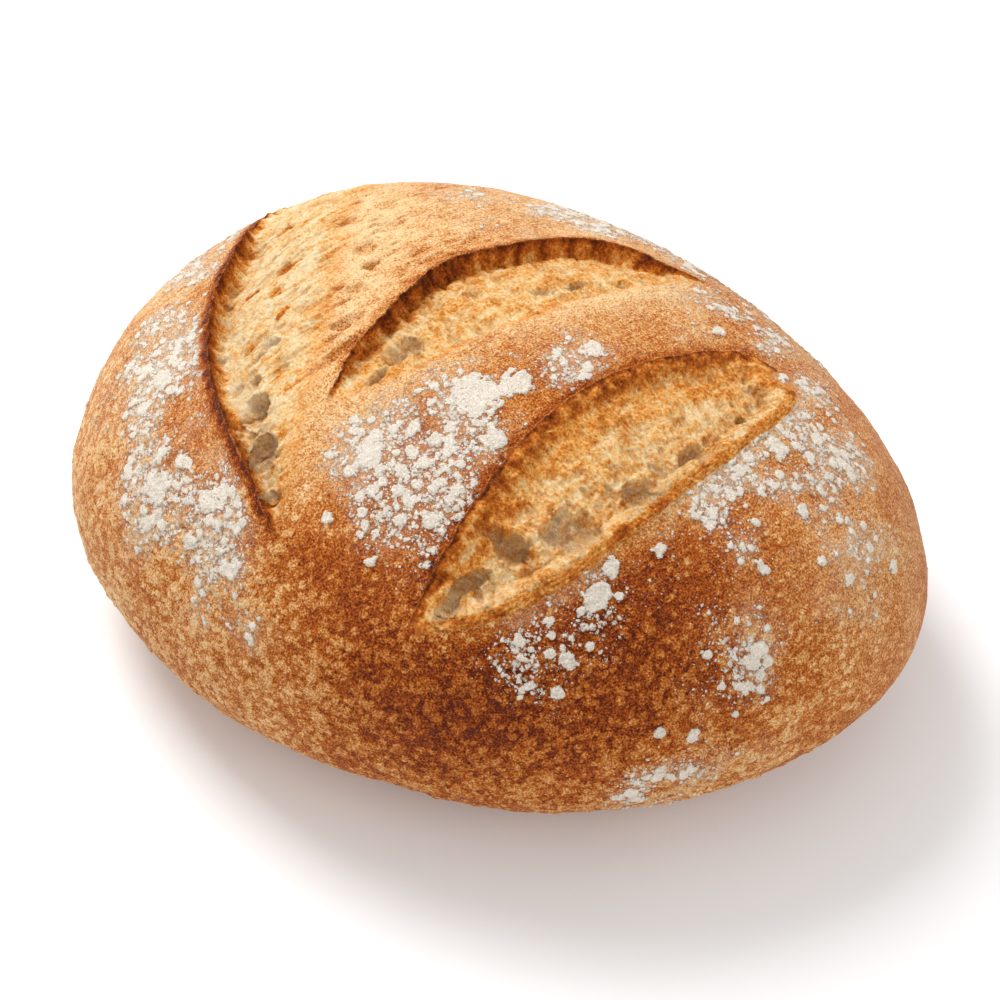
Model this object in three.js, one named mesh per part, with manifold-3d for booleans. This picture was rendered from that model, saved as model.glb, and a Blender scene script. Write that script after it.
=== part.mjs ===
// A round-ended, hand-shaped sourdough loaf with three opened slashes across its top.
//
// Frame: millimetres, +Z up. The origin is the centre of the loaf's bounding box on the plane that it
// rests on, +X runs along the loaf's length and +Y across its width. The loaf is one baked piece.

import * as THREE from 'three';
import { mergeVertices } from 'three/addons/utils/BufferGeometryUtils.js';
import Module from 'manifold-3d';

// Overall size, mm.
const LENGTH = 250;
const WIDTH = 197;
const HEIGHT = 106;

// The widest level above the resting plane, and how far the round underside is pressed flat.
const BELLY_HEIGHT = 36;
const PRESSED_FLAT = 2.2;

// Roundness of the profile: 2 is an ellipse, more is squarer.
const TOP_ROUNDNESS = 2.1;
const UNDERSIDE_ROUNDNESS = 2.2;

// How the hand-shaped plan outline departs from an oval: lobes round the loaf, and the cosine and sine
// shares of each wave.
const OUTLINE_WAVES = [
  { lobes: 1, cosine: -0.05, sine: 0.105 },
  { lobes: 3, cosine: 0.027, sine: 0.003 },
  { lobes: 4, cosine: -0.006, sine: 0.016 },
];

// The slashes. A path runs along the middle of the opening, its points given as shares of the half
// length and of the half width, so a slash stays in its place when the loaf changes size. Widths and
// depths are in millimetres.
const SLASHES = [
  {
    path: [[-0.72, 0.52], [-0.57, 0.10], [-0.44, -0.26], [-0.30, -0.58], [-0.17, -0.80]],
    width: 36,
    depth: 6,
  },
  {
    path: [[-0.25, -0.42], [-0.19, -0.14], [-0.08, 0.14], [0.09, 0.42], [0.30, 0.67]],
    width: 28,
    depth: 5,
  },
  {
    path: [[0.12, -0.83], [0.24, -0.62], [0.33, -0.32], [0.43, 0.02], [0.57, 0.35]],
    width: 34,
    depth: 7,
  },
];

// Facets: round the loaf, from its top to its underside, and along and round each slash.
const AROUND = 80;
const TOP_TO_BOTTOM = 40;
const ALONG_SLASH = 20;
const ROUND_SLASH = 12;

// Edges shorter than this, left where a slash crosses a facet, are merged away, mm.
const SHORTEST_EDGE = 0.1;

const CRUST_COLOUR = 0xb9722f;
const CRUST_ROUGHNESS = 0.75;

// A point of the plan outline, before it is scaled to the length and width.
function outlinePoint(angle) {
  let reach = 1;
  for (const wave of OUTLINE_WAVES) {
    reach += wave.cosine * Math.cos(wave.lobes * angle) + wave.sine * Math.sin(wave.lobes * angle);
  }
  return new THREE.Vector2(Math.cos(angle), Math.sin(angle)).multiplyScalar(reach);
}

// The box round the outline's facet corners, which is scaled to exactly LENGTH by WIDTH.
function outlineBox() {
  const box = new THREE.Box2();
  for (let i = 0; i < AROUND; i += 1) {
    box.expandByPoint(outlinePoint((2 * Math.PI * i) / AROUND));
  }
  return box;
}

const OUTLINE_BOX = outlineBox();
const OUTLINE_SCALE = new THREE.Vector2(LENGTH, WIDTH).divide(OUTLINE_BOX.getSize(new THREE.Vector2()));
const DOME_CENTRE = OUTLINE_BOX.getCenter(new THREE.Vector2()).multiply(OUTLINE_SCALE).negate();

// The level of the upper crust over a place in plan, zero height outside the outline.
function topHeight(x, y) {
  const fromCentre = new THREE.Vector2(x, y).sub(DOME_CENTRE).divide(OUTLINE_SCALE);
  const share = fromCentre.length() / outlinePoint(fromCentre.angle()).length();
  const rise = Math.max(0, 1 - share ** TOP_ROUNDNESS) ** (1 / TOP_ROUNDNESS);
  return BELLY_HEIGHT + rise * (HEIGHT - BELLY_HEIGHT);
}

// The upper crust's outward normal over a place in plan.
function topNormal(x, y) {
  const step = 0.5;
  const slopeX = (topHeight(x + step, y) - topHeight(x - step, y)) / (2 * step);
  const slopeY = (topHeight(x, y + step) - topHeight(x, y - step)) / (2 * step);
  return new THREE.Vector3(-slopeX, -slopeY, 1).normalize();
}

// A sphere whose poles lie on the Z axis, ready to be reshaped.
function uprightSphere(around, poleToPole) {
  const sphere = new THREE.SphereGeometry(1, around, poleToPole);
  sphere.rotateX(Math.PI / 2);
  return sphere;
}

// Moves every vertex of a geometry to the place that reshape gives for it.
function reshapeVertices(geometry, reshape) {
  const position = geometry.getAttribute('position');
  const vertex = new THREE.Vector3();
  for (let i = 0; i < position.count; i += 1) {
    reshape(vertex.fromBufferAttribute(position, i));
    position.setXYZ(i, vertex.x, vertex.y, vertex.z);
  }
  return geometry;
}

// The proved and baked dome, before it is slashed.
function domeGeometry() {
  return reshapeVertices(uprightSphere(AROUND, TOP_TO_BOTTOM), (vertex) => {
    const angle = Math.atan2(vertex.y, vertex.x);
    const level = Math.hypot(vertex.x, vertex.y);
    const isTop = vertex.z >= 0;
    const roundness = isTop ? TOP_ROUNDNESS : UNDERSIDE_ROUNDNESS;
    const depth = isTop ? HEIGHT - BELLY_HEIGHT : BELLY_HEIGHT + PRESSED_FLAT;
    const stretch = (level ** roundness + Math.abs(vertex.z) ** roundness) ** (-1 / roundness);
    const plan = outlinePoint(angle).multiplyScalar(level * stretch).multiply(OUTLINE_SCALE);
    plan.add(DOME_CENTRE);
    vertex.set(plan.x, plan.y, Math.max(0, BELLY_HEIGHT + vertex.z * stretch * depth));
  });
}

// The blade's opening: a long lens that follows the slash's path over the crust, as wide as the slash
// and centred on the crust, so it cuts to the slash's depth.
function slashGeometry({ path, width, depth }) {
  const onCrust = path.map(([alongShare, acrossShare]) => {
    const x = (alongShare * LENGTH) / 2;
    const y = (acrossShare * WIDTH) / 2;
    return new THREE.Vector3(x, y, topHeight(x, y));
  });
  const curve = new THREE.CatmullRomCurve3(onCrust);
  return reshapeVertices(uprightSphere(ROUND_SLASH, ALONG_SLASH), (vertex) => {
    const along = Math.min(1, Math.max(0, (1 + vertex.z) / 2));
    const middle = curve.getPointAt(along);
    const tangent = curve.getTangentAt(along);
    const normal = topNormal(middle.x, middle.y);
    const side = new THREE.Vector3().crossVectors(tangent, normal).normalize();
    const sideways = (vertex.y * width) / 2;
    const upwards = vertex.x * depth;
    vertex.copy(middle).addScaledVector(side, sideways).addScaledVector(normal, upwards);
  });
}

// A closed geometry as a solid that can be cut.
function toSolid(wasm, geometry) {
  geometry.deleteAttribute('normal');
  geometry.deleteAttribute('uv');
  const merged = mergeVertices(geometry);
  return new wasm.Manifold(new wasm.Mesh({
    numProp: 3,
    vertProperties: new Float32Array(merged.getAttribute('position').array),
    triVerts: new Uint32Array(merged.getIndex().array),
  }));
}

// A solid as a geometry.
function toGeometry(solid) {
  const mesh = solid.getMesh();
  const geometry = new THREE.BufferGeometry();
  geometry.setAttribute('position', new THREE.BufferAttribute(new Float32Array(mesh.vertProperties), 3));
  geometry.setIndex(new THREE.BufferAttribute(new Uint32Array(mesh.triVerts), 1));
  geometry.computeVertexNormals();
  return geometry;
}

function loafGeometry(wasm) {
  let loaf = toSolid(wasm, domeGeometry());
  for (const slash of SLASHES) {
    loaf = loaf.subtract(toSolid(wasm, slashGeometry(slash)));
  }
  return toGeometry(loaf.simplify(SHORTEST_EDGE));
}

const wasm = await Module();
wasm.setup();

const crust = new THREE.MeshStandardMaterial({
  color: CRUST_COLOUR,
  roughness: CRUST_ROUGHNESS,
  metalness: 0,
});
const loaf = new THREE.Mesh(loafGeometry(wasm), crust);
loaf.name = 'loaf';

const group = new THREE.Group();
group.add(loaf);

export default group;
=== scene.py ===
"""A slashed sourdough loaf on a plain pale floor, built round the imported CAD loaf.

The loaf's surface is worked out in millimetres in the CAD frame: a smooth baked body, then the three
opened slashes, then crust, crumb and flour relief. It is turned into metres when its mesh is made.
"""

import math
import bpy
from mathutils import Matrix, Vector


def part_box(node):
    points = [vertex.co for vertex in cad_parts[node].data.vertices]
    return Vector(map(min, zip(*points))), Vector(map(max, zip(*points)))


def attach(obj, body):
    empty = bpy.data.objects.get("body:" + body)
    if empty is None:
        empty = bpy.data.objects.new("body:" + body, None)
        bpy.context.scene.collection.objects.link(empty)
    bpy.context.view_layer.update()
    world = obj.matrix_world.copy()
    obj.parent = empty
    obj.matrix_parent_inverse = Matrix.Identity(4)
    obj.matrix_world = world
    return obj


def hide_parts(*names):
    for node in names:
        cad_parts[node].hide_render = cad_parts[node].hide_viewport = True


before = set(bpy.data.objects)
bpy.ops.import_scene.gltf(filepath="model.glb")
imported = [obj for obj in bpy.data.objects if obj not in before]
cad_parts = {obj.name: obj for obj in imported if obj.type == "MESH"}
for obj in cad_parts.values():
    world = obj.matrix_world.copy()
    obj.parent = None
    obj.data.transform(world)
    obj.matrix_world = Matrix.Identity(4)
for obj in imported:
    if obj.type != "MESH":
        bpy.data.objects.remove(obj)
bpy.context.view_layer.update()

from concurrent.futures import ThreadPoolExecutor
from types import SimpleNamespace

import bpy
import numpy as np
from mathutils import Vector

MM_PER_M = 1000.0
SEED = 7

# ------------ Driving sizes, mm ------------

# The frame gives the overall sizes, and the rest of the body's repeats the CAD's.
low_corner, high_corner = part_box("loaf")
LENGTH, WIDTH, HEIGHT = (high_corner - low_corner) * MM_PER_M
BELLY_HEIGHT = 36.0
PRESSED_FLAT = 2.2
TOP_ROUNDNESS = 2.1
UNDERSIDE_ROUNDNESS = 2.2
OUTLINE_WAVES = ((1, -0.05, 0.105), (3, 0.027, 0.003), (4, -0.006, 0.016))  # lobes, cosine, sine
OUTLINE_SAMPLES = 80

# Grid lines across the top and round each side, and down each side.
GRID_ACROSS = 400
GRID_DOWN = 240

# The slashes. Both edges run from the same tip, in shares of the half length and half width: "upper"
# has the toasted wall under it, and the floor runs out to "lower". Lengths are mm.
#   lip, lip_reach: height of the crust along the upper edge, and how far out it dies away
#   overhang, undercut: how far the lip leans over the opening, and the wall draws back under it
#   wall_run, deep_upper, deep_lower, crown: the wall's width, the floor's depth by each edge, its swell
#   fade_from, fade_to: how far in from the lower edge the floor starts to drop, and has dropped
#   lower_lip, ridge, ridge_width: height of the lower edge, and the ridge just inside it
#   lower_soft: how gradually crumb turns to crust at the lower edge
#   ..._toast, ..._toast_run: how brown that part of the crumb is, 0 to 1, and how far in it reaches
#   ..._burn, ..._burn_reach: how much darker the crust is beside that edge, lighter where negative
#   rises: how far along the upper edge the relief starts to rise to its full height, and reaches it;
#     below 0, it is full all along
PLAIN_SLASH = {
    "lower_lip": 0.0, "ridge": 0.0, "ridge_width": 4.0, "fade_from": 0.0, "streak_toast": 0.12,
    "rises": (-2.0, -1.0), "strands": 1.0,
}
SLASHES = (
    PLAIN_SLASH | {
        "name": "left",
        "upper": ((-0.60, 0.77), (-0.71, 0.67), (-0.785, 0.54), (-0.79, 0.39), (-0.768, 0.25),
                  (-0.735, 0.12), (-0.66, -0.16), (-0.53, -0.42), (-0.335, -0.64), (-0.17, -0.80)),
        "lower": ((-0.60, 0.77), (-0.575, 0.68), (-0.555, 0.57), (-0.53, 0.44), (-0.46, 0.25),
                  (-0.38, 0.02), (-0.30, -0.22), (-0.25, -0.43), (-0.20, -0.66), (-0.17, -0.80)),
        "lip": 2.8, "lip_reach": 9.0, "overhang": 1.5, "undercut": 0.8, "wall_run": 3.8,
        "deep_upper": 6.2, "deep_lower": 0.0, "crown": 2.0, "fade_to": 4.5, "lower_soft": 9.0,
        "floor_toast": 0.06, "wall_toast": 0.88, "upper_toast": 0.50, "upper_toast_run": 4.6,
        "lower_toast": 0.40, "lower_toast_run": 15.0, "upper_burn": 0.50, "lower_burn": -0.26,
        "lower_burn_reach": 13.0, "rises": (50.0, 88.0), "streak_toast": 0.50, "strands": 0.0,
    },
    PLAIN_SLASH | {
        "name": "middle",
        "upper": ((-0.25, -0.43), (-0.26, -0.18), (-0.225, 0.16), (-0.12, 0.375), (0.015, 0.54),
                  (0.185, 0.595), (0.32, 0.66)),
        "lower": ((-0.25, -0.43), (-0.12, -0.255), (0.01, 0.02), (0.145, 0.305), (0.255, 0.56),
                  (0.32, 0.66)),
        "lip": 1.9, "lip_reach": 8.0, "overhang": 1.0, "undercut": 0.6, "wall_run": 3.8,
        "deep_upper": 5.2, "deep_lower": 1.0, "crown": 1.4, "fade_to": 4.0, "lower_soft": 3.0,
        "floor_toast": 0.24, "wall_toast": 0.92, "upper_toast": 0.68, "upper_toast_run": 8.0,
        "lower_toast": 0.44, "lower_toast_run": 5.5, "upper_burn": 0.16, "lower_burn": -0.20,
        "lower_burn_reach": 7.0,
    },
    PLAIN_SLASH | {
        "name": "right",
        "upper": ((0.12, -0.83), (0.13, -0.66), (0.145, -0.5), (0.175, -0.265), (0.24, -0.02),
                  (0.345, 0.215), (0.455, 0.385), (0.56, 0.375)),
        "lower": ((0.12, -0.83), (0.21, -0.78), (0.31, -0.69), (0.425, -0.49), (0.535, -0.14),
                  (0.60, 0.15), (0.60, 0.30), (0.56, 0.375)),
        "lip": -0.9, "lip_reach": 11.0, "overhang": 0.0, "undercut": 0.0, "wall_run": 9.0,
        "deep_upper": 4.2, "deep_lower": 8.0, "crown": 1.0, "fade_from": 4.5, "fade_to": 8.0,
        "lower_lip": 0.7, "ridge": 0.5, "ridge_width": 3.8, "lower_soft": 0.4,
        "floor_toast": 0.18, "wall_toast": 0.86, "upper_toast": 0.68, "upper_toast_run": 11.5,
        "lower_toast": 0.0, "lower_toast_run": 4.0, "upper_burn": 0.18, "lower_burn": -0.24,
        "lower_burn_reach": 4.5,
    },
)
RIGHT_SLASH = SLASHES[2]

# How wide a slash is where its relief is full, how far round it that relief reaches, how far out the
# lower lip dies away, the thickness of the ridge's layers, and the points on each stretch of an edge.
TIP_TAPER = 15.0
SLASH_MARGIN = 16.0
LOWER_LIP_REACH = 8.0
LAYER_THICKNESS = 1.1
EDGE_SAMPLES = 8

# Stretched dough: a direction in plan, and how many times longer its marks are that way. Strokes lie
# over the left slash and the crust round it, strands across the other two. Height counts for less.
STROKES = (0.42, 0.91, 4.0)
STRANDS = (0.91, -0.42, 2.4)
TERRACES = (0.42, 0.91, 4.5)
FIBRE_DEPTH = 0.7

# Where the strokes are torn: their centre in shares, their reach, and the shares of the half length
# between which pits start to show.
TORN_CENTRE = (-0.50, 0.12)
TORN_REACH = 62.0
TORN_FROM, TORN_FULL = -0.72, -0.42

# Bubbles that the slashes opened: slash, place in shares, half size along and across the slash, depth.
# Each has a raised rim, mm, and a ragged outline.
BUBBLE_RIM = 0.5
BUBBLE_RAGGED = 0.48
BUBBLES = (
    ("left", -0.40, -0.46, 5.2, 4.6, 5.0),
    ("left", -0.33, -0.57, 6.0, 4.0, 4.2),
    ("left", -0.46, -0.26, 1.9, 4.2, 2.2),
    ("left", -0.44, -0.38, 2.0, 2.0, 2.2),
    ("left", -0.27, -0.67, 1.8, 3.2, 1.8),
    ("middle", -0.17, -0.17, 6.2, 4.2, 4.6),
    ("middle", -0.18, -0.28, 4.0, 1.8, 2.6),
    ("middle", -0.12, 0.13, 3.6, 2.2, 2.2),
    ("middle", 0.01, 0.22, 3.2, 1.6, 1.8),
    ("middle", 0.07, 0.31, 3.0, 1.6, 2.0),
    ("middle", 0.14, 0.39, 2.6, 1.4, 2.0),
    ("right", 0.25, -0.56, 3.8, 7.0, 6.5),
    ("right", 0.35, -0.45, 7.5, 8.0, 2.6),
    ("right", 0.45, -0.25, 6.0, 6.0, 2.4),
    ("right", 0.50, -0.07, 5.0, 4.5, 2.4),
    ("right", 0.54, 0.15, 2.4, 2.4, 2.8),
    ("right", 0.20, -0.68, 6.0, 2.6, 4.2),
    ("right", 0.19, -0.75, 5.0, 3.0, 2.6),
)

# Toasted streaks torn into the left slash's floor: place in shares, half width, half length, depth.
STREAK_TOAST = 0.60
STREAK_RAGGED = 0.80
STREAKS = (
    (-0.57, 0.07, 2.6, 5.2, 1.8),
    (-0.42, 0.19, 3.6, 4.6, 2.4),
    (-0.37, 0.12, 2.4, 3.4, 1.8),
    (-0.36, 0.00, 3.0, 4.0, 2.0),
    (-0.29, -0.24, 2.2, 8.0, 1.6),
    (-0.32, -0.13, 2.0, 5.0, 1.4),
    (-0.68, 0.26, 2.2, 5.0, 1.6),
    (-0.52, 0.30, 2.0, 5.6, 1.4),
    (-0.62, -0.06, 1.6, 4.4, 1.0),
)

# Flour. Lumps: spacing, how full they are and a seed; the fullest stand LUMP_HEIGHT above the crust.
# Heavy clumps and spots: place in shares and radius. Patches: place, radius and density.
FULLEST_LUMP = 0.62
LUMP_HEIGHT = 0.5
FLOUR_LUMPS = ((3.0, FULLEST_LUMP, 143), (1.6, 0.42, 147))
FLOUR_CLUMPS = (
    (0.05, -0.24, 9.0), (0.10, -0.15, 5.6), (-0.10, -0.50, 4.0), (0.20, 0.07, 3.8),
    (0.02, -0.39, 3.0), (0.13, -0.33, 3.0), (0.08, -0.59, 2.8), (-0.04, -0.40, 2.2),
    (-0.54, -0.70, 5.4), (-0.40, -0.71, 4.4), (-0.41, -0.80, 3.0), (-0.67, -0.41, 4.0),
    (0.62, 0.08, 4.4), (0.64, -0.07, 2.4), (0.73, -0.05, 2.4), (0.71, -0.25, 2.6),
    (0.76, -0.43, 3.4), (0.70, -0.62, 2.4), (0.64, -0.67, 2.0), (0.45, -0.56, 3.4),
    (0.45, -0.48, 3.2), (0.44, -0.70, 2.6), (0.74, 0.05, 2.2), (0.59, 0.28, 2.2),
    (0.62, 0.43, 2.6), (0.76, 0.19, 2.2), (0.38, 0.40, 2.4), (-0.12, -0.68, 2.2),
    (-0.04, -0.66, 1.8), (0.38, -0.66, 1.8), (0.55, -0.25, 2.2), (0.52, -0.38, 2.2),
    (0.66, -0.16, 1.8), (0.80, -0.12, 2.0), (0.84, 0.06, 1.8), (0.56, -0.05, 2.0),
    (-0.38, -0.69, 4.0), (-0.29, -0.84, 2.6), (-0.21, -0.93, 2.4), (0.00, -0.73, 1.8),
    (0.92, 0.06, 2.2), (0.86, -0.10, 2.0), (0.44, -0.76, 2.4), (0.60, -0.77, 2.2),
)
FLOUR_PATCHES = (
    (0.05, -0.30, 34.0, 0.92), (-0.08, -0.55, 26.0, 0.92), (0.16, -0.02, 24.0, 0.70),
    (0.12, -0.62, 20.0, 0.90), (0.26, 0.20, 22.0, 0.55), (-0.05, -0.12, 14.0, 0.40),
    (-0.66, -0.45, 34.0, 1.00), (-0.52, -0.74, 30.0, 0.95), (-0.34, -0.88, 22.0, 0.55),
    (-0.78, -0.15, 34.0, 0.75), (-0.84, 0.16, 32.0, 0.70), (-0.60, -0.30, 16.0, 0.80),
    (0.64, 0.02, 28.0, 0.95), (0.58, -0.24, 22.0, 0.85), (0.74, -0.46, 24.0, 0.70),
    (0.68, -0.70, 22.0, 0.85), (0.46, -0.58, 22.0, 0.85), (0.60, 0.36, 28.0, 0.85),
    (0.38, 0.50, 26.0, 0.85), (0.76, 0.16, 26.0, 0.75), (0.88, -0.14, 28.0, 0.48),
    (-0.18, 0.58, 30.0, 0.80), (0.06, 0.78, 30.0, 0.80), (0.28, 0.78, 28.0, 0.80),
    (-0.38, 0.62, 20.0, 0.40), (0.55, 0.70, 26.0, 0.65), (-0.55, 0.86, 24.0, 0.50),
    (-0.20, 0.97, 34.0, 0.60), (-0.90, 0.40, 26.0, 0.60), (0.34, -0.76, 18.0, 0.65),
    (0.94, 0.12, 24.0, 0.48), (0.84, -0.55, 20.0, 0.42), (-0.38, -0.70, 15.0, 0.68),
    (-0.31, -0.80, 13.0, 0.56), (-0.22, -0.92, 14.0, 0.46), (-0.05, -0.84, 10.0, 0.50),
    (0.44, -0.78, 12.0, 0.60), (0.62, -0.76, 15.0, 0.60), (0.75, -0.48, 14.0, 0.50),
)

# How brown the crust is, 0 pale to 1 nearly black: all over, darker towards the bottom where it curves
# under to the
# floor, and in patches: place in shares, radius and how much darker, or lighter where negative. The
# patches are partly uneven baking and partly painted light: darker over the lower front, lighter on the
# left and at the back.
CRUST_BROWNING = 0.53
RIM_DARKENING = 0.67
BROWNING_AND_LIGHT_PATCHES = (
    (0.30, -0.86, 34.0, 0.26), (0.52, -0.68, 30.0, 0.16), (0.08, -0.84, 30.0, 0.12),
    (0.62, -0.48, 28.0, 0.16), (0.86, -0.45, 26.0, 0.05), (0.88, -0.05, 34.0, -0.13),
    (-0.25, -0.98, 30.0, -0.02), (-0.78, -0.72, 34.0, -0.10), (-0.84, 0.02, 40.0, -0.24),
    (-0.10, -0.72, 20.0, 0.10), (0.20, 0.34, 22.0, -0.15), (-0.11, 0.70, 36.0, -0.24),
    (-0.38, 0.38, 24.0, -0.26), (0.50, 0.60, 34.0, -0.12), (0.78, -0.66, 22.0, -0.04),
    (0.15, -1.02, 34.0, 0.08), (0.50, -0.94, 30.0, 0.07), (-0.34, -0.02, 16.0, -0.10),
)

# The body's uneven swells: size across, height and seed.
SWELLS = ((46.0, 1.1, 1), (15.0, 0.45, 2))

# Fermentation blisters: spacing, height, how rare and a seed.
BLISTERS = ((2.0, 0.14, 0.10, 121), (3.7, 0.28, 0.38, 125), (5.4, 0.40, 0.50, 129))

# ------------ Noise ------------

GRADIENT_COUNT = 256
HASH_PRIMES = (73856093, 19349663, 83492791)
HASH_FACTOR = 2654435761
NOISE_GAIN = 1.6
CHUNK = 32768
WORKERS = ThreadPoolExecutor()


def in_chunks(function, points):
    """A function's values at every point, worked out a chunk at a time on all the processors."""
    chunks = [points[start:start + CHUNK] for start in range(0, len(points), CHUNK)]
    found = list(WORKERS.map(function, chunks))
    if isinstance(found[0], tuple):
        return tuple(np.concatenate(part) for part in zip(*found))
    return np.concatenate(found)


def unit_vectors(count, seed):
    vectors = np.random.default_rng(seed).normal(size=(count, 3))
    return (vectors / np.linalg.norm(vectors, axis=1, keepdims=True)).astype(np.float32)


GRADIENTS = unit_vectors(GRADIENT_COUNT, SEED)


def lattice_hash(x, y, z, seed):
    """A well mixed 32-bit number for each whole-numbered lattice point."""
    mixed = np.uint32((SEED + seed) * HASH_FACTOR % 2**32)
    for whole, prime in zip((x, y, z), HASH_PRIMES):
        mixed = mixed ^ (whole.astype(np.uint32) * np.uint32(prime))
    mixed = (mixed ^ (mixed >> np.uint32(15))) * np.uint32(2246822519)
    mixed = (mixed ^ (mixed >> np.uint32(13))) * np.uint32(3266489917)
    return mixed ^ (mixed >> np.uint32(16))


def gradient_noise(points, seed):
    """Smooth noise of about -1 to 1 with features one unit across."""
    cell = np.floor(points).astype(np.int32)
    inside = (points - cell).astype(np.float32)
    fade = inside * inside * inside * (inside * (inside * 6 - 15) + 10)
    total = np.zeros(len(points), np.float32)
    for corner in np.ndindex(2, 2, 2):
        hashed = lattice_hash(*(cell[:, i] + corner[i] for i in range(3)), seed)
        gradient = GRADIENTS[hashed % np.uint32(GRADIENT_COUNT)]
        value = sum(gradient[:, i] * (inside[:, i] - np.float32(corner[i])) for i in range(3))
        for i in range(3):
            value = value * (fade[:, i] if corner[i] else 1 - fade[:, i])
        total += value
    return total * np.float32(NOISE_GAIN)


def layered_noise(points, size, layers, seed, gain=0.5):
    """Gradient noise of features size mm across, with finer layers of it added."""
    def chunk_noise(chunk):
        total = np.zeros(len(chunk), np.float32)
        amplitude = 1.0
        reached = 0.0
        for layer in range(layers):
            total += amplitude * gradient_noise(chunk * (2.0**layer / size), seed + 31 * layer)
            reached += amplitude
            amplitude *= gain
        return total / np.float32(reached)
    return in_chunks(chunk_noise, points)


def cell_noise(points, size, seed):
    """Distances to the nearest and second nearest of one random dot per cell, in cells, and the
    nearest dot's own random number."""
    bits = np.uint32(1023)

    def chunk_cells(chunk):
        scaled = (chunk / size).astype(np.float32)
        cell = np.floor(scaled).astype(np.int32)
        nearest = np.full(len(chunk), 9.0, np.float32)
        second = np.full(len(chunk), 9.0, np.float32)
        number = np.zeros(len(chunk), np.float32)
        for step in np.ndindex(3, 3, 3):
            home = [cell[:, i] + (step[i] - 1) for i in range(3)]
            hashed = lattice_hash(*home, seed)
            distance = np.zeros(len(chunk), np.float32)
            for axis in range(3):
                jitter = ((hashed >> np.uint32(10 * axis)) & bits) / np.float32(1024)
                distance += (home[axis] + jitter - scaled[:, axis]) ** 2
            distance = np.sqrt(distance)
            closer = distance < nearest
            second = np.where(closer, nearest, np.minimum(second, distance))
            own = (hashed * np.uint32(HASH_FACTOR) >> np.uint32(8)) / np.float32(2**24)
            number = np.where(closer, own, number)
            nearest = np.where(closer, distance, nearest)
        return nearest, second, number
    return in_chunks(chunk_cells, points)


def smooth_step(start, end, value):
    share = np.clip((value - start) / (end - start), 0, 1)
    return share * share * (3 - 2 * share)


def hump(value, middle, half_width):
    """1 at the middle, falling smoothly to about 0 at two half widths from it."""
    return np.exp(-(((value - middle) / half_width) ** 2))


def mix(first, second, share):
    return first + (second - first) * share


# ------------ The smooth baked body ------------


def outline_reach(angle):
    reach = np.ones_like(angle)
    for lobes, cosine, sine in OUTLINE_WAVES:
        reach = reach + cosine * np.cos(lobes * angle) + sine * np.sin(lobes * angle)
    return reach


def outline_frame():
    """The plan scale that gives the length and width, and the dome's centre."""
    angle = np.arange(OUTLINE_SAMPLES) * (2 * math.pi / OUTLINE_SAMPLES)
    reach = outline_reach(angle)
    plan = np.stack([np.cos(angle) * reach, np.sin(angle) * reach], axis=1)
    low, high = plan.min(axis=0), plan.max(axis=0)
    scale = np.array([LENGTH, WIDTH]) / (high - low)
    return scale, -(low + high) / 2 * scale


OUTLINE_SCALE, DOME_CENTRE = outline_frame()


def body_points(directions):
    """The body's surface, mm, in the CAD's own mapping of the unit sphere."""
    x, y, z = directions.T
    level = np.hypot(x, y)
    is_top = z >= 0
    roundness = np.where(is_top, TOP_ROUNDNESS, UNDERSIDE_ROUNDNESS)
    depth = np.where(is_top, HEIGHT - BELLY_HEIGHT, BELLY_HEIGHT + PRESSED_FLAT)
    stretch = (level**roundness + np.abs(z) ** roundness) ** (-1 / roundness)
    angle = np.arctan2(y, x)
    reach = outline_reach(angle) * level * stretch
    plan = np.stack([np.cos(angle) * reach, np.sin(angle) * reach], axis=1) * OUTLINE_SCALE
    plan += DOME_CENTRE
    height = np.maximum(0, BELLY_HEIGHT + z * stretch * depth)
    return np.column_stack([plan, height]).astype(np.float32)


def top_height(x, y):
    """The level of the upper crust over a place in plan."""
    plan_x = (x - DOME_CENTRE[0]) / OUTLINE_SCALE[0]
    plan_y = (y - DOME_CENTRE[1]) / OUTLINE_SCALE[1]
    share = np.hypot(plan_x, plan_y) / outline_reach(np.arctan2(plan_y, plan_x))
    rise = np.maximum(0, 1 - share**TOP_ROUNDNESS) ** (1 / TOP_ROUNDNESS)
    return BELLY_HEIGHT + rise * (HEIGHT - BELLY_HEIGHT)


def on_crust(along_share, across_share):
    """A place on the upper crust, mm, from shares of the half length and half width."""
    x = np.asarray(along_share, float) * LENGTH / 2
    y = np.asarray(across_share, float) * WIDTH / 2
    return np.stack([x, y, top_height(x, y)], axis=-1)


# ------------ The grid: six patches of a cube swollen to a sphere, sewn along their edges ------------

# Each patch: its outward axis, its two in-plane axes, and its place and height in the bake map.
PATCHES = (
    ((0, 0, 1), (1, 0, 0), (0, 1, 0), (0.0, 0.0, 1.0)),
    ((0, 0, -1), (1, 0, 0), (0, -1, 0), (1.0, 0.0, 1.0)),
    ((1, 0, 0), (0, 1, 0), (0, 0, 1), (0.0, 1.0, 0.6)),
    ((-1, 0, 0), (0, -1, 0), (0, 0, 1), (1.0, 1.0, 0.6)),
    ((0, 1, 0), (-1, 0, 0), (0, 0, 1), (0.0, 1.6, 0.6)),
    ((0, -1, 0), (1, 0, 0), (0, 0, 1), (1.0, 1.6, 0.6)),
)
MAP_SIZE = (2.0, 2.2)
MAP_GAP = 0.004

# Corners that patches share are found by their directions, rounded to whole numbers and packed in one.
STEPS_PER_UNIT = 1e6
KEY_SPAN = 4_000_003


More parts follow.
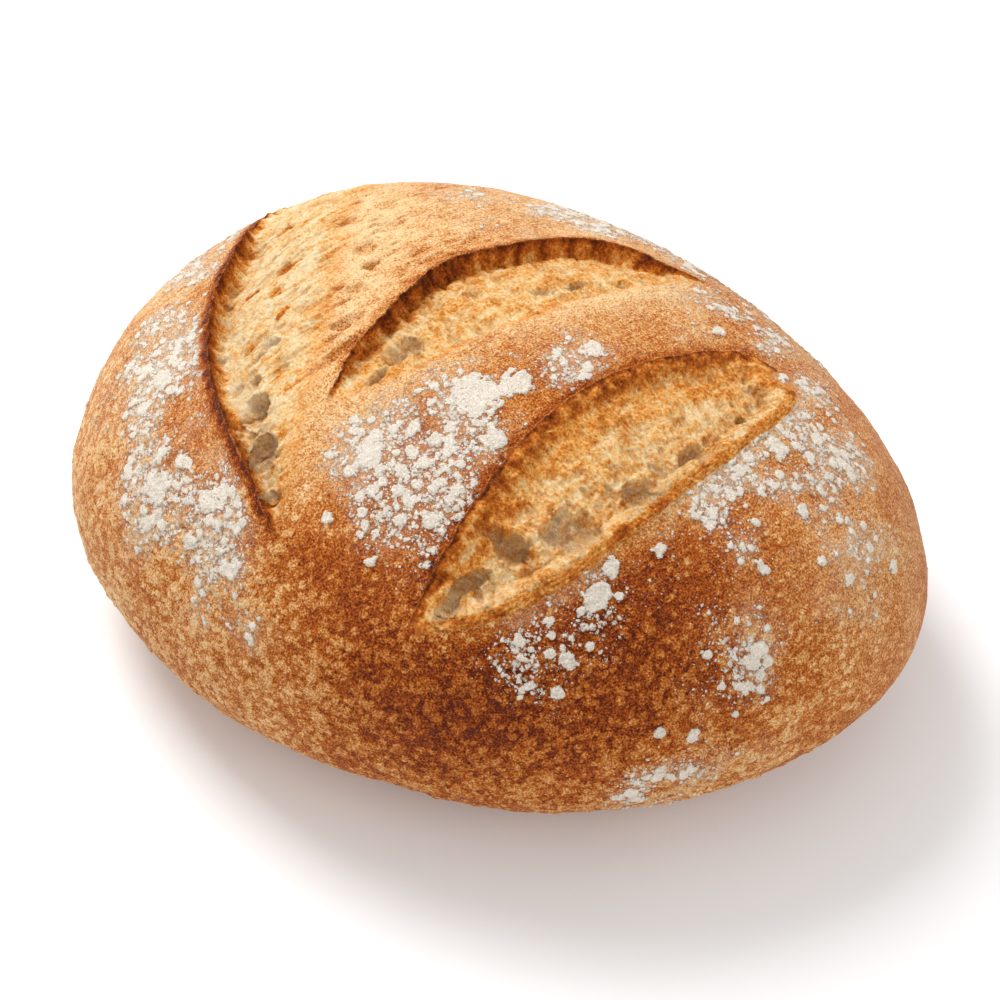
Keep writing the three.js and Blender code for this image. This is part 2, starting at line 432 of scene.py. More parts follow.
def patch_grid(axis, right, up, columns, rows):
    """Directions of a patch's grid corners, and the shares across and up the patch of each."""
    across = np.linspace(-1, 1, columns)
    upward = np.linspace(-1, 1, rows)
    u, v = np.meshgrid(across, upward)
    u, v = u.ravel()[:, None], v.ravel()[:, None]
    quarter = math.pi / 4
    sideways, upwards = np.tan(u * quarter) * np.array(right), np.tan(v * quarter) * np.array(up)
    directions = np.array(axis) + sideways + upwards
    directions /= np.linalg.norm(directions, axis=1, keepdims=True)
    return directions, np.hstack([(u + 1) / 2, (v + 1) / 2])


def patch_quads(columns, rows):
    corner = np.arange(rows * columns).reshape(rows, columns)
    round_each = [corner[:-1, :-1], corner[:-1, 1:], corner[1:, 1:], corner[1:, :-1]]
    return np.stack(round_each, axis=-1).reshape(-1, 4)


def sewn_sphere():
    """Directions, quads and a map point for each quad's corners."""
    directions, quads, map_points = [], [], []
    count = 0
    for axis, right, up, (cell_x, cell_y, cell_height) in PATCHES:
        rows = GRID_ACROSS if axis[2] else GRID_DOWN
        found, shares = patch_grid(axis, right, up, GRID_ACROSS, rows)
        inset = shares * (1 - 2 * MAP_GAP) + MAP_GAP
        placed = inset * (1, cell_height) + (cell_x, cell_y)
        directions.append(found)
        map_points.append(placed / MAP_SIZE)
        quads.append(patch_quads(GRID_ACROSS, rows) + count)
        count += len(found)
    directions = np.vstack(directions)
    quads = np.vstack(quads)
    map_points = np.vstack(map_points)
    keys = np.round(directions * STEPS_PER_UNIT).astype(np.int64)
    packed = (keys[:, 0] * KEY_SPAN + keys[:, 1]) * KEY_SPAN + keys[:, 2]
    _, first, sewn = np.unique(packed, return_index=True, return_inverse=True)
    return directions[first], sewn.reshape(-1)[quads], map_points[quads.ravel()]


def vertex_normals(points, quads):
    corner = [points[quads[:, i]] for i in range(4)]
    face = np.cross(corner[2] - corner[0], corner[3] - corner[1])
    normal = np.zeros((len(points), 3))
    for axis in range(3):
        for i in range(4):
            normal[:, axis] += np.bincount(quads[:, i], face[:, axis], len(points))
    return (normal / np.linalg.norm(normal, axis=1, keepdims=True)).astype(np.float32)


# ------------ Slashes ------------


def edge_curve(shares):
    """A smooth line over the crust through an edge's points, mm."""
    knots = np.array(shares, float)
    padded = np.vstack([2 * knots[0] - knots[1], knots, 2 * knots[-1] - knots[-2]])
    t = np.linspace(0, 1, EDGE_SAMPLES, endpoint=False)[:, None]
    pieces = []
    for i in range(len(knots) - 1):
        a, b, c, d = padded[i:i + 4]
        pieces.append(0.5 * (2 * b + (c - a) * t + (2 * a - 5 * b + 4 * c - d) * t**2
                             + (3 * b - a - 3 * c + d) * t**3))
    line = np.vstack([*pieces, knots[-1:]])
    return on_crust(line[:, 0], line[:, 1])


def nearest_on_line(points, line):
    """Each point's distance to the line, the nearest place on it and how far along it that is."""
    def chunk_nearest(chunk):
        best = np.full(len(chunk), np.inf, np.float32)
        place = np.zeros((len(chunk), 3), np.float32)
        along = np.zeros(len(chunk), np.float32)
        travelled = 0.0
        for start, end in zip(line[:-1], line[1:]):
            step = end - start
            length = np.linalg.norm(step)
            share = np.clip((chunk - start) @ (step / length**2), 0, 1)
            candidate = start + share[:, None] * step
            distance = np.linalg.norm(chunk - candidate, axis=1)
            closer = distance < best
            best[closer] = distance[closer]
            place[closer] = candidate[closer]
            along[closer] = (travelled + share * length)[closer]
            travelled += length
        return best, place, along
    line = line.astype(np.float32)
    return in_chunks(chunk_nearest, points)


def inside_outline(points, outline):
    """True where a point lies inside the closed outline in plan."""
    inside = np.zeros(len(points), bool)
    for start, end in zip(outline, np.roll(outline, -1, axis=0)):
        if start[1] == end[1]:
            continue
        crosses = (start[1] > points[:, 1]) != (end[1] > points[:, 1])
        where = start[0] + (points[:, 1] - start[1]) * (end[0] - start[0]) / (end[1] - start[1])
        inside ^= crosses & (points[:, 0] < where)
    return inside


def measure_slash(points, slash):
    """The points near a slash, and where they lie in it."""
    upper, lower = edge_curve(slash["upper"]), edge_curve(slash["lower"])
    both = np.vstack([upper, lower])
    low, high = both.min(axis=0) - SLASH_MARGIN, both.max(axis=0) + SLASH_MARGIN
    near = np.nonzero(np.all((points > low) & (points < high), axis=1))[0]
    here = points[near]
    from_upper, at_upper, along = nearest_on_line(here, upper)
    from_lower, at_lower, _ = nearest_on_line(here, lower)
    inside = inside_outline(here, np.vstack([upper, lower[::-1][1:-1]]))
    inside &= here[:, 2] > BELLY_HEIGHT
    across = at_lower - at_upper
    span = np.linalg.norm(across, axis=1)
    across /= np.maximum(span, 1.0)[:, None]
    return SimpleNamespace(
        near=near, here=here, from_upper=from_upper, from_lower=from_lower, inside=inside, across=across,
        along=along, width=span)


def opening_lift(slash, wall, share, from_lower):
    """The lift inside an opening, mm: from the lip down the wall, over the floor, up to the lower lip."""
    fade = smooth_step(slash["fade_from"], slash["fade_to"], from_lower)
    floor = -mix(slash["deep_upper"], slash["deep_lower"], share)
    floor += slash["crown"] * np.sin(np.pi * share)
    ridge = slash["ridge"] * hump(from_lower, slash["ridge_width"] / 2, slash["ridge_width"] / 2.6)
    lift = floor * wall * fade + slash["lip"] * (1 - wall)
    lift += slash["lower_lip"] * (1 - fade) + ridge
    return lift


def slash_relief(slash, measured):
    """How far each point near a slash is lifted along the crust's normal and pushed across the slash,
    mm, with its ragged distances from both edges and how open the slash is there, 0 to 1."""
    here = measured.here
    wander = 0.8 * layered_noise(here, 9.0, 2, 12)
    jag = 0.42 * layered_noise(here, 3.4, 3, 11) + wander
    inside = measured.inside
    from_upper = np.maximum(0, measured.from_upper + np.where(inside, jag, -jag))
    from_lower = np.maximum(0, measured.from_lower + np.where(inside, jag, -jag))
    share = from_upper / np.maximum(from_upper + from_lower, 0.01)
    opening = smooth_step(0, TIP_TAPER, measured.width)
    wall = smooth_step(0, slash["wall_run"], np.maximum(0, measured.from_upper + wander))
    lift_inside = opening_lift(slash, wall, share, from_lower)
    push_inside = slash["overhang"] * (1 - smooth_step(0, 2.4, measured.from_upper))
    push_inside -= slash["undercut"] * hump(measured.from_upper, 3.2, 1.8)
    upper_falloff = np.clip(1 - from_upper / slash["lip_reach"], 0, 1) ** 2
    lower_falloff = np.clip(1 - from_lower / LOWER_LIP_REACH, 0, 1) ** 2
    nearer_upper = measured.from_upper < measured.from_lower
    lower_edge = slash["lower_lip"] * lower_falloff
    lift_outside = np.where(nearer_upper, slash["lip"] * upper_falloff, lower_edge)
    push_outside = np.where(nearer_upper, slash["overhang"] * upper_falloff**1.5, 0)
    standing = opening * mix(0.12, 1.0, smooth_step(*slash["rises"], measured.along))
    return SimpleNamespace(
        lift=np.where(inside, lift_inside, lift_outside) * standing,
        push=np.where(inside, push_inside, push_outside) * standing,
        share=share, from_upper=from_upper, from_lower=from_lower, opening=opening,
        nearer_upper=nearer_upper)


# ------------ Building the loaf's surface and its masks ------------


def distance_from(points, along_share, across_share):
    """Distances, mm, from a place on the crust given in shares."""
    return np.linalg.norm(points - on_crust(along_share, across_share), axis=1)


def oval_distance(points, centre, along_axis, across_axis, half_along, half_across):
    """Distance from an oval's centre, 1 at its edge. The axes are unit vectors."""
    offset = points - centre
    along = (offset @ along_axis) / half_along
    across = (offset @ across_axis) / half_across
    return np.sqrt(along**2 + across**2)


def slash_axes(slash_name, centre):
    """Unit vectors along and across a slash at a place on it."""
    slash = next(slash for slash in SLASHES if slash["name"] == slash_name)
    upper, lower = edge_curve(slash["upper"]), edge_curve(slash["lower"])
    centre = centre[None].astype(np.float32)
    _, at_upper, _ = nearest_on_line(centre, upper)
    _, at_lower, _ = nearest_on_line(centre, lower)
    across = (at_lower - at_upper)[0]
    across /= np.linalg.norm(across)
    step = 1.0
    x, y, _ = centre[0]
    slope_x = (top_height(x + step, y) - top_height(x - step, y)) / (2 * step)
    slope_y = (top_height(x, y + step) - top_height(x, y - step)) / (2 * step)
    normal = np.array([-slope_x, -slope_y, 1.0])
    normal /= np.linalg.norm(normal)
    along = np.cross(normal, across)
    return along / np.linalg.norm(along), across


class Surface:
    """The loaf's points with the masks that its material reads, one number per point. Beside them:
    fibre, the coordinates that stretched noise is read from, edge_burn, how much darker a slash makes
    the crust, by_lip, 1 just under a lip, and off_floor, 0 where the loaf touches the floor."""

    # The mask for bubbles and pores carries painted shade: it darkens their colour, most under a bubble's
    # upper side, and also deepens the crumb's relief there.
    MASKS = ("crumb", "toast", "browning_and_light", "flour", "clump", "dust", "fleck", "hollow_shade", "strand")

    def __init__(self):
        directions, self.quads, self.map_points = sewn_sphere()
        self.base = body_points(directions)
        self.points = self.base.copy()
        self.masks = {name: np.zeros(len(self.base), np.float32) for name in self.MASKS}
        self.fibre = squeezed(self.base, *STROKES)
        self.edge_burn = np.zeros(len(self.base), np.float32)
        self.by_lip = np.zeros(len(self.base), np.float32)
        self.off_floor = smooth_step(0.5, 12.0, self.base[:, 2])

    def normals(self):
        return vertex_normals(self.points, self.quads)


def squeezed(points, along_x, along_y, stretch):
    """Coordinates squeezed along a direction in plan, so that noise over them stretches that way."""
    across = points[:, 0] * along_y - points[:, 1] * along_x
    along = points[:, 0] * along_x + points[:, 1] * along_y
    return np.stack([across, along / stretch, points[:, 2] * FIBRE_DEPTH], axis=1).astype(np.float32)


def shape_body(surface):
    """The uneven swelling of a hand-shaped loaf."""
    swell = sum(height * layered_noise(surface.base, size, 2, seed) for size, height, seed in SWELLS)
    surface.points += surface.normals() * (swell * surface.off_floor)[:, None]


def open_slashes(surface):
    normal = surface.normals()
    for slash in SLASHES:
        measured = measure_slash(surface.base, slash)
        relief = slash_relief(slash, measured)
        near, inside = measured.near, measured.inside
        opening = relief.opening
        surface.points[near] += normal[near] * relief.lift[:, None]
        surface.points[near] += measured.across * relief.push[:, None]
        ragged = 0.8 * slash["lower_soft"] * layered_noise(surface.fibre[near], 3.4, 3, 15)
        lower_side = smooth_step(0, slash["lower_soft"], relief.from_lower + ragged)
        crumb = np.where(inside, smooth_step(0.0, 0.4, relief.from_upper) * lower_side, 0)
        crumb *= smooth_step(0.02, 0.25, opening)
        toast = slash_toast(slash, relief, measured, surface.fibre[near])
        better = crumb > surface.masks["crumb"][near]
        chosen = near[better]
        surface.masks["crumb"][chosen] = crumb[better]
        surface.masks["toast"][chosen] = toast[better]
        if slash["strands"]:
            surface.fibre[chosen] = squeezed(surface.base[chosen], *STRANDS)
            surface.masks["strand"][chosen] = slash["strands"]
        surface.edge_burn[near] += slash_burn(slash, relief, measured.here)
        by_lip = hump(measured.from_upper, 2.6, 2.6) * opening * inside
        surface.by_lip[near] = np.maximum(surface.by_lip[near], by_lip)


def slash_burn(slash, relief, here):
    """How much darker the crust is beside the slash's edges."""
    charred = 1 + 0.9 * layered_noise(here, 3.0, 2, 14)
    upper_burn = slash["upper_burn"] * hump(relief.from_upper, 0, 1.9) * charred
    lower_burn = slash["lower_burn"] * hump(relief.from_lower, 0, slash["lower_burn_reach"])
    return np.where(relief.nearer_upper, upper_burn, lower_burn) * relief.opening


def slash_toast(slash, relief, measured, fibre):
    """How brown the opened crumb is, 0 to 1."""
    here = measured.here
    uneven = 0.5 * layered_noise(here, 7.0, 3, 21)
    streaks = layered_noise(fibre, 2.4, 3, 22)
    from_upper, from_lower, share = relief.from_upper, relief.from_lower, relief.share
    upper_run = np.clip(0.4 * measured.width, 3.0, slash["upper_toast_run"])
    upper = slash["upper_toast"] * (1 - smooth_step(1.5, upper_run, from_upper + 4 * uneven))
    wall = slash["wall_toast"] * hump(from_upper, 0.4, 1.8)
    reach = from_lower + 3.0 * uneven + 0.35 * slash["lower_toast_run"] * streaks
    lower = slash["lower_toast"] * (1 - smooth_step(0.5, slash["lower_toast_run"], reach))
    toast = np.maximum(np.maximum(upper, wall), np.maximum(lower, slash["floor_toast"]))
    toast += slash["streak_toast"] * smooth_step(0.1, 0.6, streaks) * smooth_step(0.15, 0.6, share)
    if slash["ridge"] > 0:
        middle = 0.38 * (1 - smooth_step(0.25, 0.75, share + 0.5 * uneven))
        rim = 1 - smooth_step(slash["ridge_width"] - 1.5, slash["ridge_width"] + 0.5, from_lower)
        toast = np.maximum(np.maximum(toast, middle), rim * (0.58 + 0.5 * uneven))
    toast = np.maximum(toast, 0.4 * (1 - smooth_step(0.2, 0.8, relief.opening)))
    return np.clip(toast + 0.16 * uneven, 0, 1)


def dig_bubbles(surface):
    """Opened bubbles, each a torn oval pit with a thin raised rim, with painted shade inside that is
    darkest on the side under the upper edge.
    """
    normal = surface.normals()
    for index, bubble in enumerate(BUBBLES):
        slash_name, along_share, across_share, half_along, half_across, depth = bubble
        centre = on_crust(along_share, across_share)
        along_axis, across_axis = slash_axes(slash_name, centre)
        reach = 2 * max(half_along, half_across)
        near = np.nonzero(distance_from(surface.base, along_share, across_share) < reach)[0]
        here = surface.base[near]
        distance = oval_distance(here, centre, along_axis, across_axis, half_along, half_across)
        distance += BUBBLE_RAGGED * layered_noise(here, 4.5, 3, 40 + index)
        inside = np.clip(1 - distance**2, 0, 1)
        crumb = surface.masks["crumb"][near]
        lift = -depth * inside**0.6 + BUBBLE_RIM * hump(distance, 1.08, 0.12)
        surface.points[near] += normal[near] * (lift * crumb)[:, None]
        # Painted shade: each bubble is darkened most on its side towards the upper edge, under the rim,
        # and least on its lit side.
        lit_side = np.clip(0.5 + 0.5 * ((here - centre) @ across_axis) / half_across, 0, 1)
        uneven = 1 + 0.5 * layered_noise(here, 2.0, 3, 61)
        hollow_shade = np.clip(smooth_step(0, 0.7, inside) * mix(1.0, 0.40, lit_side) * uneven, 0, 1)
        surface.masks["hollow_shade"][near] = np.maximum(surface.masks["hollow_shade"][near], hollow_shade * crumb)
        surface.masks["toast"][near] *= 1 - 0.6 * hollow_shade * crumb


def tear_streaks(surface):
    """Short toasted pits, torn along the direction that the dough stretched in."""
    normal = surface.normals()
    lean = np.array([STROKES[0], STROKES[1], 0.0])
    narrow = np.array([STROKES[1], -STROKES[0], 0.0])
    for index, (along_share, across_share, half_narrow, half_long, depth) in enumerate(STREAKS):
        centre = on_crust(along_share, across_share)
        near = np.nonzero(distance_from(surface.base, along_share, across_share) < 2.2 * half_long)[0]
        here = surface.base[near]
        distance = oval_distance(here, centre, narrow, lean, half_narrow, half_long)
        distance += STREAK_RAGGED * layered_noise(here, 3.4, 3, 70 + index)
        inside = np.clip(1 - distance**2, 0, 1)
        surface.points[near] -= normal[near] * (depth * inside)[:, None]
        toast = surface.masks["toast"][near]
        surface.masks["toast"][near] = np.maximum(toast, STREAK_TOAST * smooth_step(0, 0.8, inside))
        surface.edge_burn[near] += 0.12 * smooth_step(0, 0.5, inside)


def texture_tears(surface):
    """Slanting torn strokes over the left slash and the crust round it."""
    torn = smooth_step(TORN_REACH, 0.55 * TORN_REACH, distance_from(surface.base, *TORN_CENTRE))
    near = np.nonzero(torn > 0)[0]
    normal = surface.normals()[near]
    fibre = surface.fibre[near]
    coarse = layered_noise(fibre, 1.9, 2, 81)
    fine = layered_noise(fibre, 0.9, 2, 82)
    broad = layered_noise(fibre, 5.0, 2, 83)
    torn = torn[near]
    eastward = smooth_step(TORN_FROM * LENGTH / 2, TORN_FULL * LENGTH / 2, surface.base[near, 0])
    pits = smooth_step(0.18, 0.5, layered_noise(fibre, 3.0, 3, 84)) * torn * eastward
    relief = torn * (0.6 * coarse + 0.32 * fine + 0.5 * broad) - 1.0 * pits
    surface.points[near] += normal * relief[:, None]
    toast = surface.masks["toast"][near]
    surface.masks["toast"][near] = np.clip(toast - 0.16 * torn * broad + 0.34 * pits, 0, 1)
    surface.edge_burn[near] += 0.26 * pits - 0.20 * torn * (coarse + 0.5 * broad)


def texture_crumb(surface):
    """Stretched strands, thin cell walls and small pores over the opened crumb."""
    near = np.nonzero(surface.masks["crumb"] > 0.01)[0]
    normal = surface.normals()[near]
    fibre = surface.fibre[near]
    base = surface.base[near]
    crumb = surface.masks["crumb"][near]
    toast = surface.masks["toast"][near]
    bent = fibre + layered_noise(base, 6.0, 2, 90)[:, None]
    strands = 1 - 2 * np.abs(layered_noise(bent, 2.1, 2, 91))
    lumps = layered_noise(base, 4.2, 4, 93, 0.6)
    nearest, second, number = cell_noise(bent, 2.3, 95)
    wall = smooth_step(0.30, 0.02, second - nearest)
    cell = (1 - wall) * smooth_step(0.35, 0.9, number)
    fine = layered_noise(base, 1.3, 2, 94)
    along_slash = squeezed(base, *TERRACES)
    terraces = layered_noise(along_slash, 2.8, 3, 96) * surface.masks["strand"][near]
    knobs = layered_noise(base, 3.6, 2, 97) * surface.by_lip[near]
    open_share = 1 - 0.65 * toast
    hollow_shade = surface.masks["hollow_shade"][near]
    strands *= np.clip(1 - 1.6 * toast, 0, 1)
    relief = (0.8 + 0.6 * hollow_shade) * lumps + (0.34 + 0.5 * hollow_shade) * strands + 0.30 * fine
    relief += 0.7 * terraces
    relief += 1.5 * knobs - 0.75 * cell * open_share
    surface.points[near] += normal * (relief * crumb)[:, None]
    shift = 0.08 * strands + 0.30 * lumps + 0.06 * cell + 0.22 * terraces - 0.45 * knobs
    surface.masks["toast"][near] = np.clip(toast + crumb * shift, 0, 1)
    # Painted shade: small pores are darkened as well as the bubbles.
    surface.masks["hollow_shade"][near] = np.maximum(0.8 * hollow_shade, 0.5 * cell * crumb * open_share)


def layer_ridge(surface):
    """Thin crisp layers along the right slash's lower edge."""
    measured = measure_slash(surface.base, RIGHT_SLASH)
    near, inside = measured.near, measured.inside
    here = measured.here
    wander = 0.9 * layered_noise(here, 7.0, 3, 101)
    wander += 0.35 * layered_noise(here, 1.6, 2, 102)
    depth_in = measured.from_lower + wander
    width = RIGHT_SLASH["ridge_width"]
    band = smooth_step(-1.5, 0.3, depth_in) * (1 - smooth_step(width - 0.8, width + 0.2, depth_in))
    band *= smooth_step(0.05, 0.5, smooth_step(0, TIP_TAPER, measured.width)) * inside
    layer = depth_in / LAYER_THICKNESS
    tooth = layer - np.floor(layer)
    relief = band * (0.45 * tooth + 0.3 * layered_noise(here, 1.8, 2, 103))
    normal = surface.normals()[near]
    surface.points[near] += normal * relief[:, None]
    toast = surface.masks["toast"][near]
    knots = smooth_step(0.15, 0.5, layered_noise(here, 9.0, 2, 104))
    brown = 0.37 + 0.18 * (1 - tooth) + 0.30 * knots
    surface.masks["toast"][near] = mix(toast, brown, band)
    surface.masks["strand"][near] *= 1 - band


def texture_crust(surface):
    """Leathery grain and small fermentation blisters, thickest on the lower front."""
    crust = (1 - surface.masks["crumb"]) * surface.off_floor
    normal = surface.normals()
    base = surface.base
    relief = 0.17 * layered_noise(base, 3.0, 4, 111, 0.6)
    front = smooth_step(20.0, -60.0, base[:, 1]) * smooth_step(104.0, 70.0, base[:, 2])
    density = 0.12 + 0.54 * front + 0.30 * layered_noise(base, 12.0, 2, 113)
    bent = base + 0.5 * layered_noise(base, 1.6, 2, 114)[:, None]
    fleck = np.zeros(len(base), np.float32)
    for size, height, rarity, seed in BLISTERS:
        nearest, _, number = cell_noise(bent, size, seed)
        bump = smooth_step(0.0, 0.16, density - rarity - 0.8 * number + 0.30 - 0.9 * nearest)
        relief += height * bump
        fleck = np.maximum(fleck, bump)
    surface.points += normal * (relief * crust)[:, None]
    surface.masks["fleck"] = fleck * crust


def brown_crust(surface):
    base = surface.base
    browning_and_light = CRUST_BROWNING + 0.13 * layered_noise(base, 24.0, 3, 131)
    browning_and_light += 0.13 * layered_noise(base, 8.0, 4, 132, 0.6)
    # Partly painted light: besides uneven baking, the patches darken the lower front and lighten the left
    # and back.
    for along_share, across_share, radius, amount in BROWNING_AND_LIGHT_PATCHES:
        browning_and_light += amount * hump(distance_from(base, along_share, across_share), 0, radius)
    # Darker towards the bottom, where the crust curves under to the floor.
    rim = smooth_step(16.0, 2.0, base[:, 2])
    browning_and_light = mix(browning_and_light, RIM_DARKENING + 0.5 * (browning_and_light - 0.5), 0.6 * rim)
    browning_and_light += surface.edge_burn
    surface.masks["browning_and_light"] = np.clip(browning_and_light, 0, 1).astype(np.float32)


def flour_density(base, broad):
    """How thickly flour lies, 0 to 1 or a little more, over broad noise."""
    density = 0.12 + 0.10 * broad
    for along_share, across_share, radius, amount in FLOUR_PATCHES:
        patch = hump(distance_from(base, along_share, across_share), 0, radius * 0.70)
        density += amount * patch * (0.8 + 0.9 * broad)
    return density


def flour_clumps(base):
    """1 in the ragged heavy clumps, 0 away from them."""
    ragged = 0.45 * layered_noise(base, 6.0, 2, 142)
    ragged += 0.75 * layered_noise(base, 2.4, 4, 148, 0.65)
    clump = np.zeros(len(base), np.float32)
    for along_share, across_share, radius in FLOUR_CLUMPS:
        distance = distance_from(base, along_share, across_share) / radius + ragged
        clump = np.maximum(clump, smooth_step(1.1, 0.35, distance))
    return clump


def flour_lumps(here, density):
    """Separate rounded lumps, up to FULLEST_LUMP in the middle of one, more where flour is thick."""
    bent = here + 0.5 * layered_noise(here, 1.8, 2, 146)[:, None]
    amount = np.minimum(density, 0.95) * 0.86 - 0.13
    lumps = np.zeros(len(here), np.float32)
    for size, fullness, seed in FLOUR_LUMPS:
        nearest, _, number = cell_noise(bent, size, seed)
        standing = smooth_step(0, 0.22, amount - 0.62 * number - 0.72 * nearest)
        lumps = np.maximum(lumps, fullness * standing)
    return lumps


def sift_flour(surface):
    """Flour that the proving basket left: thick cracked clumps, crumbs and a thin dust."""
    base = surface.base
    broad = layered_noise(base, 16.0, 3, 141)
    density = flour_density(base, broad)
    clump = flour_clumps(base)
    crust = (1 - surface.masks["crumb"]) * surface.off_floor
    crust *= 1 - 0.8 * np.clip(surface.edge_burn / 0.3, 0, 1)
    near = np.nonzero((density * crust > 0.2) | (clump * crust > 0.01))[0]
    here = base[near]
    lumps = flour_lumps(here, density[near])
    pile = smooth_step(0.15, 0.7, clump[near])
    crags = layered_noise(here, 2.0, 4, 144, 0.65)
    depth = np.maximum(LUMP_HEIGHT * lumps / FULLEST_LUMP, pile * (0.65 + 0.6 * crags))
    normal = surface.normals()[near]
    surface.points[near] += normal * (depth * crust[near])[:, None]
    flour = np.maximum(lumps / FULLEST_LUMP, np.clip(1.2 * pile + 0.8 * crags * (pile > 0), 0, 1))
    surface.masks["clump"][near] = flour * crust[near]
    surface.masks["flour"] = np.clip(density, 0, 1) * crust
    surface.masks["dust"] = np.clip(0.8 * density - 0.08 + 0.3 * broad, 0, 1) * crust


def keep_above_floor(surface):
    surface.points[:, 2] = np.maximum(surface.points[:, 2], 0)


def build_surface():
    surface = Surface()
    shape_body(surface)
    open_slashes(surface)
    dig_bubbles(surface)
    tear_streaks(surface)
    texture_tears(surface)
    layer_ridge(surface)
    texture_crumb(surface)
    texture_crust(surface)
    brown_crust(surface)
    sift_flour(surface)
    keep_above_floor(surface)
    return surface


def add_object(name, data):
    added = bpy.data.objects.new(name, data)
    bpy.context.scene.collection.objects.link(added)
    return added


def loaf_object(surface):
    mesh = bpy.data.meshes.new("sourdough_loaf")
    quads = surface.quads
    mesh.vertices.add(len(surface.points))
    mesh.vertices.foreach_set("co", (surface.points / MM_PER_M).astype(np.float32).ravel())
    mesh.loops.add(quads.size)
    mesh.loops.foreach_set("vertex_index", quads.astype(np.int32).ravel())
    mesh.polygons.add(len(quads))
    mesh.polygons.foreach_set("loop_start", np.arange(0, quads.size, 4, dtype=np.int32))
    mesh.update(calc_edges=True)
    mesh.shade_smooth()
    uv_map = mesh.uv_layers.new(name="OFBake")
    uv_map.data.foreach_set("uv", surface.map_points.astype(np.float32).ravel())
    for name, values in surface.masks.items():
        attribute = mesh.attributes.new(name, "FLOAT", "POINT")
        attribute.data.foreach_set("value", values.astype(np.float32))
    return add_object("sourdough_loaf", mesh)


# ------------ Materials ------------


def linear(red, green, blue):
    """A colour given as 0 to 255 display values, as the linear values that shaders take."""
    def one(value):
        share = value / 255
        return share / 12.92 if share <= 0.04045 else ((share + 0.055) / 1.055) ** 2.4
    return (one(red), one(green), one(blue), 1.0)


CRUST_TONES = (
    (0.00, (255, 222, 168)),
    (0.20, (246, 196, 136)),
    (0.40, (220, 145, 70)),
    (0.58, (191, 100, 23)),
    (0.76, (158, 67, 4)),
    (0.90, (122, 45, 4)),
    (1.00, (84, 28, 4)),
)
CRUMB_TONES = (
    (0.00, (255, 232, 188)),
    (0.20, (252, 206, 138)),
    (0.40, (236, 160, 72)),
    (0.60, (200, 106, 28)),
    (0.80, (150, 70, 16)),
    (1.00, (84, 34, 10)),
)
FLOUR_WHITE = (255, 249, 238)
# Painted shade: the grey that flour is given where the powder noise is low, beside its lit white.
FLOUR_PAINTED_SHADE = (226, 208, 184)
DUST_TONE = (250, 226, 196)
FLECK_TONE = (222, 150, 78)
# Painted shade: the shaded brown that bubbles and pores are darkened towards.
HOLLOW_SHADE_TONE = (168, 98, 40)
FLOOR_TONE = (246, 246, 246)
CRUST_ROUGHNESS = 0.50
CRUMB_ROUGHNESS = 0.80
FLOUR_ROUGHNESS = 0.95
FLOOR_ROUGHNESS = 0.9
BREAD_SHINE = 0.13

# Depth of the materials' fine relief, mm.
SKIN_RELIEF = 0.17
FLOUR_RELIEF = 0.30
FLOOR_RELIEF = 0.02


